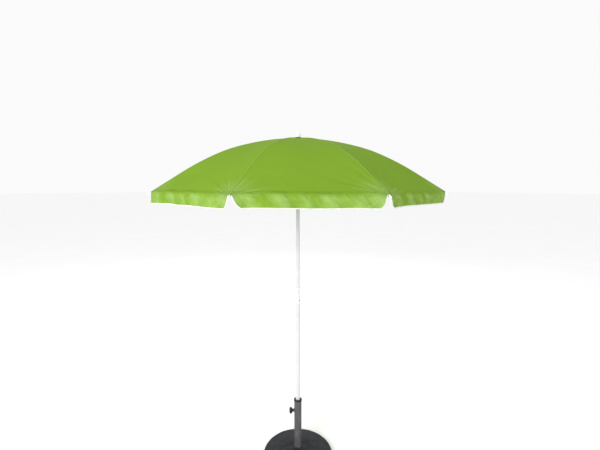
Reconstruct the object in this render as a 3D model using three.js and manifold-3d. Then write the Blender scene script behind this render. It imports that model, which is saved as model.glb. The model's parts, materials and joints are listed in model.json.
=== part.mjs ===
// A patio umbrella with its base: a concrete foot with a steel tube and a clamp knob, a lower pole, a
// telescoping inner tube, a tilt joint, an upper pole, eight folding ribs with struts, and an eight-panel
// canopy in one wedge per rib. Millimetres, +Z up, origin on the floor under the pole, front panel to -Y.
import * as THREE from 'three';
import { mergeVertices } from 'three/addons/utils/BufferGeometryUtils.js';
import Module from 'manifold-3d';

const wasm = await Module();
wasm.setup();

// ---- driving dimensions ----
const GAP = 0.3; // between pieces that touch
const PLAY = 0.4; // round a piece that slides or turns
const ROUND = 24; // facets round a pole
const ROUND_WIDE = 48; // and round the base
const RIBS = 8;
const STEP = 360 / RIBS; // degrees between ribs
const FIRST_RIB = -90 - STEP / 2; // a panel, not a rib, faces -Y

const RIM_R = 830; // pole axis to a canopy corner
const RIM_Z = 1607;
const APEX_Z = 1927;
const RIB_LINE = [ // the canopy's outer face over a rib: radius, height
  [0, APEX_Z], [150, 1910], [300, 1879.5], [450, 1832], [600, 1757], [720, 1680.5], [RIM_R, RIM_Z]];
const CLOTH = 1; // thickness of the canopy's solid
const HEM_R = 17; // the hole that the finial's screw passes
const VALANCE = 52; // drop of the valance below the fold
const NOTCH_TOP = 7; // from a corner to the valance's end, at the fold
const NOTCH_LOW = 36; // and at its lower edge
const SEAM_GAP = 0.16; // each wedge stops this far short of the middle of its panels

const HINGE_R = 24; // pole axis to the ribs' and struts' lower pivots
const HINGE_Z = 1905;
const JOINT_R = 430; // pole axis to the strut's pivot under the rib
const JOINT_Z = 1828;
const STRUT_FOOT_Z = 2 * JOINT_Z - HINGE_Z; // rib and strut are the equal sides of a triangle
const ROD_R = 1.75; // rib wire
const EYE_R = 4;
const EYE_W = 3.2;
const EYE_HOLE_R = 1.6;
const WIRE_R = 1;
const RIB_OUT = 12; // the wire runs this far past the corner, inside its cap
const CAP_R = 3.5;
const CAP_OUT = 21;
const TAB_W = 1.8;
const PIN_R = 1.2;
const STRUT_W = 5;
const STRUT_DEEP = 2.5; // half the channel's depth
const STRUT_WALL = 0.8;

const HUB_R = 28; // toothed rims of the crown and the runner
const HUB_CORE_R = 16;
const HUB_SLOT = 6;

const BASE_R = 205;
const BASE_RISE = 60; // top of the dome, at the tube
const BASE_EDGE = 22;
const BASE_UNDER = 3; // the disc's underside, above the floor
const FOOT_IN = 164; // the rubber foot ring
const FOOT_OUT = 180;
const FOOT_H = 6;
const BOLT_HOLE_R = 6;
const POCKET_R = 26; // the hollow for the bolt's head
const POCKET_TOP = 15;
const TUBE_R = 22;
const TUBE_WALL = 2;
const TUBE_TOP = 336;
const TUBE_COLLAR_R = 24.5;
const CLAMP_Z = 276;
const BOSS_R = 9;
const BOSS_OUT = 29.5;
const SCREW_R = 4;
const SCREW_IN = 15.9; // pole axis to the clamp screw's point
const SCREW_OUT = 36; // and to its head, inside the knob
const PAD_R = 3.4;
const KNOB_R = 18.2; // between its lobes and their hollows
const KNOB_LOBES = 5;
const KNOB_LOBE_RISE = 2.3;
const LOWER_R = 12.5;
const LOWER_FOOT = 28.7;
const LOWER_TOP = 949.5;
const INNER_R = 11;
const INNER_LOW = 560;
const WALL = 1; // pole walls
const COLLAR_LOW = 925;
const COLLAR_TOP = 963.5;
const TILT_Z = 987;
const UPPER_LOW = 1010.5;
const UPPER_TOP = 1902;
const BUTTON_Z = 944;
const BUTTON_R = 3.4;
const BUTTON_TURN = 34; // the height button looks this far to the right of the front
const TILT_BUTTON_Z = 998;
const SMALL_BUTTON_R = 3; // the tilt button and the runner's catch
const CUP_R = 12.8; // the socket that holds the upper pole's foot
const RUNNER_LOW = 1709;
const RUNNER_TOP = 1762;
const CATCH_Z = 1700;

// ---- materials ----
function finish(color, roughness, metalness = 0) {
  return new THREE.MeshStandardMaterial({ color, roughness, metalness });
}
const CLOTH_GREEN = finish(0x8cb43c, 0.7);
const WHITE_METAL = finish(0xe8e8ea, 0.35);
const WHITE_PLASTIC = finish(0xe6e8e0, 0.5);
const DARK_METAL = finish(0x55555a, 0.4);
const BLACK_PLASTIC = finish(0x1c1c1e, 0.5);
const STONE = finish(0x3a3a3e, 0.8);
const STEEL = finish(0x9a9a9e, 0.35, 1);
const RUBBER = finish(0x202022, 0.9);

// ---- solids ----
function solid(geometry) {
  geometry.deleteAttribute('normal');
  if (geometry.hasAttribute('uv')) geometry.deleteAttribute('uv');
  const merged = mergeVertices(geometry, 1e-4);
  return new wasm.Manifold(new wasm.Mesh({
    numProp: 3,
    vertProperties: new Float32Array(merged.attributes.position.array),
    triVerts: new Uint32Array(merged.index.array),
  }));
}

function geometryOf(manifold) {
  const mesh = manifold.getMesh();
  const geometry = new THREE.BufferGeometry();
  geometry.setAttribute('position', new THREE.BufferAttribute(new Float32Array(mesh.vertProperties), 3));
  geometry.setIndex(new THREE.BufferAttribute(new Uint32Array(mesh.triVerts), 1));
  geometry.computeVertexNormals();
  return geometry;
}

// A profile of [radius, height] pairs that starts and ends on the axis, or closes on itself, turned about Z.
function turned(profile, segments = ROUND) {
  const points = profile.map(([r, z]) => new THREE.Vector2(r, z));
  return new THREE.LatheGeometry(points, segments).rotateX(Math.PI / 2);
}

function ring(rIn, rOut, low, high, segments = ROUND) {
  return turned([[rIn, low], [rOut, low], [rOut, high], [rIn, high], [rIn, low]], segments);
}

function rod(radius, length, segments = 16) {
  return new THREE.CylinderGeometry(radius, radius, length, segments);
}

function box(x, y, z, cx = 0, cy = 0, cz = 0) {
  return new THREE.BoxGeometry(x, y, z).translate(cx, cy, cz);
}

// A rod whose axis lies along X, from x0 to x1, at height z.
function rodX(radius, x0, x1, z, segments = 16) {
  return rod(radius, Math.abs(x1 - x0), segments).rotateZ(Math.PI / 2).translate((x0 + x1) / 2, 0, z);
}

// A rod standing on the pole's axis.
function rodZ(radius, low, high, segments = ROUND) {
  return rod(radius, high - low, segments).rotateX(Math.PI / 2).translate(0, 0, (low + high) / 2);
}

// A rod along Y, centred on the point (x, 0, z).
function rodY(radius, length, x, z, segments = 16) {
  return rod(radius, length, segments).translate(x, 0, z);
}

const umbrella = new THREE.Group();

function add(name, geometry, material, turn = 0) {
  const mesh = new THREE.Mesh(geometry, material);
  mesh.name = name;
  mesh.rotation.z = THREE.MathUtils.degToRad(turn);
  umbrella.add(mesh);
}

// ---- base ----
function baseDisc() {
  const dome = new THREE.SplineCurve([
    new THREE.Vector2(BASE_R, BASE_EDGE - 6), new THREE.Vector2(BASE_R - 6, BASE_EDGE + 3),
    new THREE.Vector2(130, 43), new THREE.Vector2(70, 54), new THREE.Vector2(30, BASE_RISE)]);
  const profile = [[BOLT_HOLE_R, POCKET_TOP], [POCKET_R, POCKET_TOP], [POCKET_R, BASE_UNDER],
    [BASE_R - 9, BASE_UNDER], [BASE_R - 2, BASE_UNDER + 4]];
  dome.getPoints(8).forEach((p) => profile.push([p.x, p.y]));
  profile.push([TUBE_R + GAP, BASE_RISE], [TUBE_R + GAP, BASE_EDGE], [BOLT_HOLE_R, BASE_EDGE],
    [BOLT_HOLE_R, POCKET_TOP]);
  const groove = solid(ring(FOOT_IN, FOOT_OUT, 0, FOOT_H, ROUND_WIDE));
  return geometryOf(solid(turned(profile, ROUND_WIDE)).subtract(groove));
}

function addBase() {
  add('base_disc', baseDisc(), STONE);
  add('base_foot_ring', ring(FOOT_IN + GAP, FOOT_OUT - GAP, 0, FOOT_H - GAP, ROUND_WIDE), RUBBER);
  const washerLow = POCKET_TOP - GAP - 2.5;
  add('base_washer', ring(BOLT_HOLE_R, 22, washerLow, POCKET_TOP - GAP), STEEL);
  const head = solid(rodZ(9.5, washerLow - 6.7, washerLow - GAP, 6));
  const shank = solid(rodZ(4.6, washerLow - 3.5, 27.7, 16));
  add('base_bolt', geometryOf(head.add(shank)), STEEL);
  const bore = TUBE_R - TUBE_WALL;
  const window = solid(rodX(SCREW_R + 0.6, -TUBE_R - 5, 0, CLAMP_Z));
  const tube = solid(ring(bore, TUBE_R, BASE_EDGE + GAP, TUBE_TOP)).subtract(window);
  add('base_tube', geometryOf(tube), DARK_METAL);
  add('tube_plug', ring(5, bore - GAP, BASE_EDGE + GAP, LOWER_FOOT - GAP), STEEL);
  add('tube_bush', ring(LOWER_R + PLAY, bore - GAP, 60, 100), BLACK_PLASTIC);
  const sleeveLow = TUBE_TOP - 40;
  const collarTop = TUBE_TOP + 7.6;
  add('tube_collar', turned([
    [LOWER_R + PLAY, sleeveLow], [bore - GAP, sleeveLow], [bore - GAP, TUBE_TOP + GAP],
    [TUBE_COLLAR_R, TUBE_TOP + GAP], [TUBE_COLLAR_R, collarTop - 2], [TUBE_COLLAR_R - 2, collarTop],
    [LOWER_R + PLAY, collarTop], [LOWER_R + PLAY, sleeveLow]]), BLACK_PLASTIC);
}

function addClamp() {
  const nut = solid(rodX(BOSS_R, -BOSS_OUT, -TUBE_R + 3, CLAMP_Z, 24));
  const hole = solid(rodX(SCREW_R + PLAY, -BOSS_OUT - 10, 0, CLAMP_Z));
  const around = solid(rodZ(TUBE_R + GAP, CLAMP_Z - 30, CLAMP_Z + 30));
  add('clamp_boss', geometryOf(nut.subtract(hole).subtract(around)), DARK_METAL);
  add('clamp_pad', rodX(PAD_R, -SCREW_IN + GAP, -LOWER_R - GAP, CLAMP_Z), BLACK_PLASTIC);
  add('clamp_screw', rodX(SCREW_R, -SCREW_OUT, -SCREW_IN, CLAMP_Z), STEEL);
  const lobes = new THREE.Shape();
  for (let i = 0; i < 60; i += 1) {
    const a = (i / 60) * 2 * Math.PI;
    const r = KNOB_R + KNOB_LOBE_RISE * Math.cos(KNOB_LOBES * a);
    if (i === 0) lobes.moveTo(r, 0);
    else lobes.lineTo(r * Math.cos(a), r * Math.sin(a));
  }
  lobes.closePath();
  const grip = new THREE.ExtrudeGeometry(lobes, {
    depth: 12.5, bevelEnabled: true, bevelThickness: 2, bevelSize: 1.5, bevelOffset: -1.5, bevelSegments: 1 });
  grip.rotateY(-Math.PI / 2).translate(-SCREW_OUT - 1.5, 0, CLAMP_Z);
  const neckLong = 7.5;
  const taper = new THREE.CylinderGeometry(8, 15, neckLong, 24).rotateZ(-Math.PI / 2);
  const neck = solid(taper.translate(-BOSS_OUT - 1 - neckLong / 2, 0, CLAMP_Z));
  const socket = solid(rodX(SCREW_R + GAP, -SCREW_OUT - GAP, -TUBE_R, CLAMP_Z));
  add('clamp_knob', geometryOf(solid(grip).add(neck).subtract(socket)), BLACK_PLASTIC);
}

// ---- poles ----
const radialTurn = BUTTON_TURN - 90;

function turnedSolid(geometry, degrees) {
  return solid(geometry.rotateZ(THREE.MathUtils.degToRad(degrees)));
}

function addLowerPole() {
  const hole = turnedSolid(rodX(BUTTON_R + PLAY, 5, 25, BUTTON_Z), radialTurn);
  const pole = solid(ring(LOWER_R - WALL, LOWER_R, LOWER_FOOT + 3.8, LOWER_TOP)).subtract(hole);
  add('lower_pole', geometryOf(pole), WHITE_METAL);
  const flangeTop = LOWER_FOOT + 3.5;
  const plugTop = 52;
  add('pole_foot_plug', turned([[0, LOWER_FOOT], [LOWER_R - 1, LOWER_FOOT], [LOWER_R, LOWER_FOOT + 1],
    [LOWER_R, flangeTop], [LOWER_R - WALL - GAP, flangeTop], [LOWER_R - WALL - GAP, plugTop], [0, plugTop]]),
  BLACK_PLASTIC);
  const bore = LOWER_R + GAP;
  const sleeve = 13.8; // the collar's radius below its flare
  const collar = solid(turned([
    [bore, COLLAR_LOW], [sleeve, COLLAR_LOW], [sleeve, 943], [15.4, 957], [16, 960],
    [15.4, COLLAR_TOP], [INNER_R + PLAY, COLLAR_TOP], [INNER_R + PLAY, LOWER_TOP + GAP],
    [bore, LOWER_TOP + GAP], [bore, COLLAR_LOW]]));
  add('pole_collar', geometryOf(collar.subtract(hole)), WHITE_PLASTIC);
}

function addInnerTube() {
  const slotLow = 590;
  const slotTop = 955;
  const slot = turnedSolid(box(12, 9, slotTop - slotLow, 12, 0, (slotLow + slotTop) / 2), radialTurn);
  const tube = solid(ring(INNER_R - WALL, INNER_R, INNER_LOW, COLLAR_TOP)).subtract(slot);
  add('inner_tube', geometryOf(tube), WHITE_METAL);
  const button = solid(rodX(BUTTON_R, 9.2, 15.6, BUTTON_Z));
  const flange = solid(rodX(2.6, 8, 16.8, BUTTON_Z));
  add('height_button', geometryOf(button.add(flange)), BLACK_PLASTIC, radialTurn);
}

// The tilt joint: a fork on the inner tube, a tongue on the upper pole and a rivet across them.
function addTiltJoint() {
  const EAR_R = 11.4;
  const EAR_OUT = 12.2;
  const SLOT = 5.5;
  const FORK_R = 13;
  const RIVET_R = 3;
  const flangeTop = 973;
  const pinHole = solid(rodY(RIVET_R + PLAY, 60, 0, TILT_Z));
  const spigot = solid(ring(6, INNER_R - WALL - GAP, 952, 966));
  const flange = solid(ring(6, FORK_R, COLLAR_TOP + GAP, flangeTop));
  const blockLow = flangeTop - 1;
  const block = solid(box(EAR_R * 2, EAR_OUT * 2, TILT_Z - blockLow, 0, 0, (TILT_Z + blockLow) / 2));
  const round = solid(rodY(EAR_R, EAR_OUT * 2, 0, TILT_Z, ROUND));
  const bound = solid(rodZ(FORK_R, TILT_Z - 30, TILT_Z + 30));
  const slot = solid(box(60, SLOT * 2, 60, 0, 0, flangeTop + 30.5));
  const fork = block.add(round).intersect(bound).add(flange).subtract(slot).add(spigot).subtract(pinHole);
  add('tilt_fork', geometryOf(fork), WHITE_PLASTIC);

  let rivet = solid(rodY(RIVET_R, 27, 0, TILT_Z));
  for (const y of [-FORK_R - 0.1, FORK_R + 0.1]) {
    rivet = rivet.add(solid(rodY(4.6, 1.2, 0, TILT_Z).translate(0, y, 0)));
  }
  add('tilt_rivet', geometryOf(rivet), STEEL);

  const TONGUE_R = 10.6;
  const tongueWide = (SLOT - PLAY) * 2;
  const tongueRound = solid(rodY(TONGUE_R, tongueWide, 0, TILT_Z, ROUND));
  const tongueBlock = solid(box(TONGUE_R * 2, tongueWide, 20, 0, 0, TILT_Z + 10));
  const cupLow = UPPER_LOW - 7;
  const cupTop = UPPER_LOW + 10.5;
  const cup = solid(turned([[0, cupLow], [CUP_R - 0.4, cupLow], [CUP_R, cupLow + 1], [CUP_R, cupTop],
    [INNER_R + GAP, cupTop], [INNER_R + GAP, UPPER_LOW - GAP], [0, UPPER_LOW - GAP]]));
  const buttonHole = solid(rodX(SMALL_BUTTON_R + GAP, 2, 20, TILT_BUTTON_Z));
  const tongue = tongueRound.add(tongueBlock).add(cup).subtract(pinHole).subtract(buttonHole);
  add('tilt_tongue', geometryOf(tongue), WHITE_PLASTIC);
  add('tilt_button', rodX(SMALL_BUTTON_R, 6, 13.4, TILT_BUTTON_Z), WHITE_PLASTIC);
}

function addUpperPole() {
  const catchHole = solid(rodX(SMALL_BUTTON_R + PLAY, 5, 20, CATCH_Z));
  const pole = solid(ring(INNER_R - WALL, INNER_R, UPPER_LOW, UPPER_TOP)).subtract(catchHole);
  add('upper_pole', geometryOf(pole), WHITE_METAL);
  add('runner_catch', rodX(SMALL_BUTTON_R, 7.5, INNER_R + 2.6, CATCH_Z), STEEL);
}

// ---- crown, runner and finial ----
function toothed(profile) {
  let hub = solid(turned(profile, 32));
  for (let i = 0; i < RIBS; i += 1) {
    const slot = box(HUB_R, HUB_SLOT, 200, HUB_CORE_R + 1.5 + HUB_R / 2, 0, 0);
    slot.translate(0, 0, profile[0][1]);
    hub = hub.subtract(turnedSolid(slot, FIRST_RIB + i * STEP));
  }
  return hub;
}

function addCrown() {
  const bore = INNER_R + GAP;
  const low = HINGE_Z - 17;
  const neckR = 8;
  const neckTop = HINGE_Z + 33;
  const hub = toothed([[bore, low], [HUB_CORE_R, low], [HUB_CORE_R + 1, low + 8], [HUB_R, HINGE_Z - 6],
    [HUB_R, HINGE_Z + 7], [HUB_CORE_R, HINGE_Z + 12], [neckR, HINGE_Z + 13], [neckR, neckTop], [0, neckTop],
    [0, UPPER_TOP + GAP], [bore, UPPER_TOP + GAP], [bore, low]]);
  const channel = solid(new THREE.TorusGeometry(HINGE_R, WIRE_R + PLAY, 6, 32).translate(0, 0, HINGE_Z));
  add('crown', geometryOf(hub.subtract(channel)), WHITE_PLASTIC);
  add('crown_wire', new THREE.TorusGeometry(HINGE_R, WIRE_R, 6, 32).translate(0, 0, HINGE_Z), STEEL);
  const F = APEX_Z + 3;
  const finialR = 16.8;
  add('finial', turned([
    [neckR + GAP, F], [finialR - 1.3, F], [finialR, F + 2], [finialR, F + 9], [15.6, F + 18],
    [12.4, F + 27], [7, F + 32.6], [0, F + 34], [0, neckTop + GAP], [neckR + GAP, neckTop + GAP],
    [neckR + GAP, F]]), WHITE_PLASTIC);
}

function addRunner() {
  const bore = INNER_R + PLAY;
  const sleeve = HUB_CORE_R + 1.3;
  const flangeR = 21;
  const hub = toothed([
    [bore, RUNNER_LOW], [flangeR, RUNNER_LOW], [flangeR, RUNNER_LOW + 6], [sleeve, RUNNER_LOW + 9],
    [sleeve, STRUT_FOOT_Z - 10], [HUB_R, STRUT_FOOT_Z - 7], [HUB_R, STRUT_FOOT_Z + 7],
    [HUB_CORE_R, RUNNER_TOP], [bore, RUNNER_TOP], [bore, RUNNER_LOW]]);
  const groove = solid(box(7, 8, 90, 11.2, 0, (RUNNER_LOW + RUNNER_TOP) / 2));
  add('runner', geometryOf(hub.subtract(groove)), WHITE_PLASTIC);
}

// ---- ribs, struts and canopy, each made once along +X and turned into place ----
const ribLine = new THREE.SplineCurve(RIB_LINE.map(([r, z]) => new THREE.Vector2(r, z)));

// The canopy's outer face at a radius, by halving along the curve.
function clothAt(radius) {
  let low = 0;
  let high = 1;
  for (let i = 0; i < 40; i += 1) {
    const middle = (low + high) / 2;
    if (ribLine.getPoint(middle).x < radius) low = middle;
    else high = middle;
  }
  return ribLine.getPoint(low).y;
}

const ROD_DROP = CLOTH + 1.7 + ROD_R; // cloth face to rib wire, square to the cloth

function rodPath() {
  const points = [new THREE.Vector3(HINGE_R + EYE_R - 1, 0, HINGE_Z + 0.9), new THREE.Vector3(50, 0, 1912.5)];
  for (const radius of [90, 160, 240, 320, 400, 480, 560, 640, 720, 780, RIM_R - 4]) {
    const slope = (clothAt(radius + 1) - clothAt(radius - 1)) / 2;
    const down = ROD_DROP / Math.hypot(1, slope);
    points.push(new THREE.Vector3(radius + slope * down, 0, clothAt(radius) - down));
  }
  return points;
}

const rodPoints = rodPath();
const rodEnd = rodPoints[rodPoints.length - 1];
const endRun = rodEnd.clone().sub(rodPoints[rodPoints.length - 2]).normalize();

function disc(radius, segments = 6) {
  const shape = new THREE.Shape();
  for (let i = 0; i < segments; i += 1) {
    const a = ((i + 0.5) / segments) * 2 * Math.PI;
    if (i === 0) shape.moveTo(radius * Math.cos(a), radius * Math.sin(a));
    else shape.lineTo(radius * Math.cos(a), radius * Math.sin(a));
  }
  shape.closePath();
  return shape;
}

function ribGeometry() {
  const tip = rodEnd.clone().addScaledVector(endRun, RIB_OUT);
  const path = new THREE.CatmullRomCurve3([...rodPoints, tip]);
  const wire = new THREE.ExtrudeGeometry(disc(ROD_R), { steps: 18, bevelEnabled: false, extrudePath: path });
  const eye = solid(rodY(EYE_R, EYE_W, HINGE_R, HINGE_Z, 12));
  const eyeHole = solid(rodY(EYE_HOLE_R, 20, HINGE_R, HINGE_Z, 8));
  const tab = solid(box(9, TAB_W, 9.5, JOINT_R, 0, JOINT_Z + 1.2));
  const tabHole = solid(rodY(PIN_R + PLAY, 20, JOINT_R, JOINT_Z, 8));
  return geometryOf(solid(wire).add(eye).add(tab).subtract(eyeHole).subtract(tabHole));
}

function tipCapGeometry() {
  const start = 3.2; // from the last point under the cloth to the cap's mouth
  const bore = ROD_R + 0.35;
  const cap = turned([[bore, 0], [CAP_R, 0], [CAP_R, CAP_OUT - 4], [CAP_R * 0.8, CAP_OUT - 1.6], [0, CAP_OUT],
    [0, RIB_OUT - start + 1], [bore, RIB_OUT - start + 1], [bore, 0]], 10);
  const lean = Math.atan2(endRun.x, endRun.z);
  const mouth = rodEnd.clone().addScaledVector(endRun, start);
  return cap.rotateY(lean).translate(mouth.x, 0, mouth.z);
}

function strutGeometry() {
  const side = STRUT_W / 2;
  const shape = new THREE.Shape();
  const inner = side - STRUT_WALL;
  const web = STRUT_DEEP - STRUT_WALL;
  const section = [[-side, -STRUT_DEEP], [-side, STRUT_DEEP], [side, STRUT_DEEP], [side, -STRUT_DEEP],
    [inner, -STRUT_DEEP], [inner, web], [-inner, web], [-inner, -STRUT_DEEP]];
  section.forEach(([x, y], i) => (i === 0 ? shape.moveTo(x, y) : shape.lineTo(x, y)));
  shape.closePath();
  const dx = JOINT_R - HINGE_R;
  const dz = JOINT_Z - STRUT_FOOT_Z;
  const length = Math.hypot(dx, dz);
  const over = 3; // past each pivot
  const bar = new THREE.ExtrudeGeometry(shape, { depth: length + 2 * over, bevelEnabled: false });
  bar.translate(0, 0, -over).rotateX(Math.PI / 2).rotateZ(Math.PI / 2);
  const pins = [0, length].map((at) => solid(rodY(PIN_R, STRUT_W - 0.4, at, 0, 8)));
  const webCut = solid(box(22, 2 * inner, 6, length - 3, 0, 2));
  const body = solid(bar).subtract(webCut).add(pins[0]).add(pins[1]);
  return geometryOf(body).rotateY(-Math.atan2(dz, dx)).translate(HINGE_R, 0, STRUT_FOOT_Z);
}

// One wedge of the canopy: half a panel to each side of its rib, and half of each of their valances.
function wedgeGeometry() {
  const half = THREE.MathUtils.degToRad(STEP / 2);
  const radii = [HEM_R, 80, 150, 225, 300, 375, 450, 525, 600, 660, 720, 775, RIM_R];
  const profile = radii.map((radius) => [radius, clothAt(radius)]);
  // a point on the flat panel beside the rib: radius of the rib at that height, and the way across (0 to 1)
  const place = (radius, across, side, z) => {
    const y = across * radius * Math.sin(half) * Math.cos(half);
    const x = radius - across * radius * Math.sin(half) ** 2;
    return new THREE.Vector3(x, side * y, z);
  };
  const rows = profile.map(([radius, z]) => {
    const border = 1 - SEAM_GAP / (radius * Math.sin(half));
    return [place(radius, border, -1, z), place(radius, 0, 1, z), place(radius, border, 1, z)];
  });
  const panel = loft(rows, CLOTH);
  const last = rows[rows.length - 1];
  let wedge = solid(panel);
  for (const side of [-1, 1]) {
    const middle = side < 0 ? last[0] : last[2];
    const corner = last[1];
    const run = corner.clone().sub(middle);
    const length = run.length();
    run.normalize();
    const flap = new THREE.Shape();
    flap.moveTo(0, 0.4 - CLOTH);
    flap.lineTo(length - NOTCH_TOP, 0.4 - CLOTH);
    flap.lineTo(length - NOTCH_LOW, -VALANCE);
    flap.lineTo(0, -VALANCE);
    flap.closePath();
    const cloth = new THREE.ExtrudeGeometry(flap, { depth: CLOTH, bevelEnabled: false });
    const inward = new THREE.Vector3(0, 0, 1).cross(run).multiplyScalar(side);
    const up = new THREE.Vector3(0, 0, 1);
    const basis = new THREE.Matrix4().makeBasis(run, up, run.clone().cross(up));
    const shift = run.clone().cross(up).dot(inward) > 0 ? 0 : CLOTH;
    const origin = middle.clone().addScaledVector(run.clone().cross(up), -shift);
    cloth.applyMatrix4(basis.setPosition(origin));
    wedge = wedge.add(solid(cloth));
  }
  return geometryOf(wedge);
}

// A closed sheet from rows of points, thickened straight down.
function loft(rows, thickness) {
  const across = rows[0].length;
  const down = rows.length;
  const positions = [];
  for (const drop of [0, thickness]) {
    for (const row of rows) row.forEach((p) => positions.push(p.x, p.y, p.z - drop));
  }
  const at = (layer, row, column) => layer * across * down + row * across + column;
  const faces = [];
  const quad = (a, b, c, d) => faces.push(a, b, c, a, c, d);
  for (let i = 0; i < down - 1; i += 1) {
    for (let j = 0; j < across - 1; j += 1) {
      quad(at(0, i, j), at(0, i + 1, j), at(0, i + 1, j + 1), at(0, i, j + 1));
      quad(at(1, i, j), at(1, i, j + 1), at(1, i + 1, j + 1), at(1, i + 1, j));
    }
    quad(at(0, i, 0), at(1, i, 0), at(1, i + 1, 0), at(0, i + 1, 0));
    quad(at(0, i, across - 1), at(0, i + 1, across - 1), at(1, i + 1, across - 1), at(1, i, across - 1));
  }
  for (let j = 0; j < across - 1; j += 1) {
    quad(at(0, 0, j), at(0, 0, j + 1), at(1, 0, j + 1), at(1, 0, j));
    quad(at(0, down - 1, j), at(1, down - 1, j), at(1, down - 1, j + 1), at(0, down - 1, j + 1));
  }
  const geometry = new THREE.BufferGeometry();
  geometry.setAttribute('position', new THREE.BufferAttribute(new Float32Array(positions), 3));
  geometry.setIndex(faces);
  return geometry;
}

function addCanopy() {
  const rib = ribGeometry();
  const cap = tipCapGeometry();
  const strut = strutGeometry();
  const wedge = wedgeGeometry();
  for (let i = 0; i < RIBS; i += 1) {
    const turn = FIRST_RIB + i * STEP;
    add(`rib_${i + 1}`, rib, WHITE_METAL, turn);
    add(`rib_cap_${i + 1}`, cap, WHITE_PLASTIC, turn);
    add(`strut_${i + 1}`, strut, WHITE_METAL, turn);
    add(`canopy_wedge_${i + 1}`, wedge, CLOTH_GREEN, turn);
  }
  const inner = 8.6;
  const outer = 46;
  const lift = 2 * GAP;
  add('canopy_patch', turned([
    [inner, clothAt(inner) + lift], [outer, clothAt(outer) + lift], [outer, clothAt(outer) + lift + CLOTH],
    [inner, clothAt(inner) + lift + CLOTH], [inner, clothAt(inner) + lift]]), CLOTH_GREEN);
}

addBase();
addClamp();
addLowerPole();
addInnerTube();
addTiltJoint();
addUpperPole();
addCrown();
addRunner();
addCanopy();

export default umbrella;
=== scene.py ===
"""A garden parasol on a weighted base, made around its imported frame: cloth, binding, poles, joint and base."""
import json
import math

import bmesh
import bpy
from mathutils import Matrix, Vector, noise


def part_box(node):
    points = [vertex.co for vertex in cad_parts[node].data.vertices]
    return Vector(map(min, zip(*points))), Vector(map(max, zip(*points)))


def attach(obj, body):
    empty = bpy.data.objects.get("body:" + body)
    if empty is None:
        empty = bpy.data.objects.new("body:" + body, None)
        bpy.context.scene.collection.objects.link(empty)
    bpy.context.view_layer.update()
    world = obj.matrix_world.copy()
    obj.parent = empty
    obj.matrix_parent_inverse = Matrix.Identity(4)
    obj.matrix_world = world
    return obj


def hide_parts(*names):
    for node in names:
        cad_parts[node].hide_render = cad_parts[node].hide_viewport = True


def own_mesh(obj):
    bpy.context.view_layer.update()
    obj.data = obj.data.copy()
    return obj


bl_info = {
    "name": "Garden Parasol",
    "version": (1, 0, 0),
    "blender": (4, 5, 0),
    "location": "View3D > Sidebar > Parasol",
    "description": "Makes a garden parasol, its base and a plain studio around a packed frame",
    "category": "Add Mesh",
}

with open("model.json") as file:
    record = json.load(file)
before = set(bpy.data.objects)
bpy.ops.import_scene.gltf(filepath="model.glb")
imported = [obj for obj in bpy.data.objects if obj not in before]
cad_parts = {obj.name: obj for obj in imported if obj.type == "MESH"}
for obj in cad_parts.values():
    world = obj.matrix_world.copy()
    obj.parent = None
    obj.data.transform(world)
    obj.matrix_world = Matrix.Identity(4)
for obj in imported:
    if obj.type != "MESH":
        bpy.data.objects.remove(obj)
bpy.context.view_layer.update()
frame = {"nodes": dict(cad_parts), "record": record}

RIBS = 8
STEP = math.radians(360 / RIBS)
HALF = STEP / 2
FIRST_RIB = -math.pi / 2 - HALF
ON_THE_RIB = 0.0001  # a point this near a wedge's middle is over its rib
WELD = 1e-6  # points closer than this are one point


def rib_angle(index):
    """The direction of a rib, counted from 1, from the pole's axis."""
    return FIRST_RIB + (index - 1) * STEP


def middle(node):
    """The centre of a CAD node's box."""
    low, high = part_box(node)
    return (low + high) / 2


def line_over_rib():
    """The canopy's outer face over a rib, as (radius, height) pairs read off a wedge's solid."""
    turn = Matrix.Rotation(-rib_angle(1), 4, "Z")
    best = {}
    for vertex in frame["nodes"]["canopy_wedge_1"].data.vertices:
        point = turn @ vertex.co
        if abs(point.y) < ON_THE_RIB:
            key = round(point.x, 4)
            best[key] = max(best.get(key, 0), point.z)
    return sorted(best.items())


RIB_LINE = line_over_rib()
RIM_R, RIM_Z = RIB_LINE[-1]
EDGE = RIM_R * math.sin(HALF)  # half the length of a panel's lower edge
CLOTH_RUN = 1.14  # length along the cloth per unit of radius, roughly


def height_over_rib(radius):
    """The rib line at a radius, by a smooth curve through its points."""
    points = RIB_LINE
    i = 0
    while i < len(points) - 2 and points[i + 1][0] < radius:
        i += 1
    (r0, z0), (r1, z1) = points[i], points[i + 1]
    before = points[i - 1] if i > 0 else (2 * r0 - r1, z0 + 0.0003)
    after = points[i + 2] if i + 2 < len(points) else (2 * r1 - r0, 2 * z1 - z0)
    slope0 = (z1 - before[1]) / (r1 - before[0])
    slope1 = (after[1] - z0) / (after[0] - r0)
    t = (radius - r0) / (r1 - r0)
    span = r1 - r0
    return (
        (2 * t**3 - 3 * t**2 + 1) * z0
        + (t**3 - 2 * t**2 + t) * span * slope0
        + (3 * t**2 - 2 * t**3) * z1
        + (t**3 - t**2) * span * slope1
    )


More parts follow.
